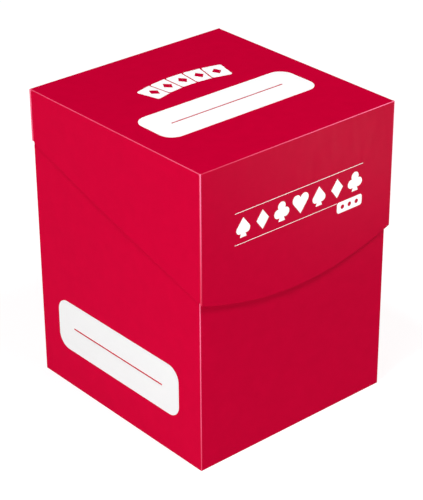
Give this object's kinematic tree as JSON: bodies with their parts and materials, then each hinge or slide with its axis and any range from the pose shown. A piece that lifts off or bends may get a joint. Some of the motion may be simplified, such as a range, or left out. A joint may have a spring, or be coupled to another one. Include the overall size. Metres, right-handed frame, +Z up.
{
  "type": "card deck box",
  "caption": "Upright folding deck box of red polypropylene sheet: open body with a thumb notch, flip-top lid on a living hinge, write-on fields and a loose card divider.",
  "frame": {"origin": "centre of the closed box's footprint, on the surface it stands on", "axes": "+Z up; the front, where the lid's long flap hangs, faces -Y; the living hinge is on the back, at +Y"},
  "size_m": [0.0732, 0.0765, 0.0954],
  "materials": {
    "pp_sheet": "fine satin grain, as on extruded polypropylene sheet",
    "pp_crease": "stress-whitened polypropylene, paler and smoother than the sheet",
    "white_ink": "opaque matte screen-printed ink that takes a pen",
    "divider_sheet": "fine satin grain, as on extruded polypropylene sheet"
  },
  "bodies": {
    "body": {"front_panel": "pp_sheet", "back_panel": "pp_sheet", "side_panel_left": "pp_sheet", "side_panel_right": "pp_sheet", "seam_flap": "pp_sheet", "bottom_panel": "pp_sheet", "bottom_tab_left": "pp_sheet", "bottom_tab_right": "pp_sheet", "bottom_tab_front": "pp_sheet", "living_hinge": "pp_crease", "side_label": "white_ink"},
    "lid": {"lid_top_panel": "pp_sheet", "lid_front_flap": "pp_sheet", "lid_side_flap_left": "pp_sheet", "lid_side_flap_right": "pp_sheet", "lid_back_panel": "pp_sheet", "lid_front_tab_left": "pp_sheet", "lid_front_tab_right": "pp_sheet", "lid_back_tab_left": "pp_sheet", "lid_back_tab_right": "pp_sheet", "top_label": "white_ink", "lid_emblem": "white_ink", "front_print": "white_ink"},
    "divider": {"divider": "divider_sheet"}
  },
  "joints": [
    {"name": "lid_hinge", "type": "hinge", "parent": "body", "child": "lid", "pos_m": [0, 0.03825, 0.0784], "axis": [-1, 0, 0], "range_deg": [0, 175]},
    {"name": "divider_slide", "type": "slide", "parent": "body", "child": "divider", "axis": [0, 1, 0], "range_m": [-0.072, 0]}
  ]
}
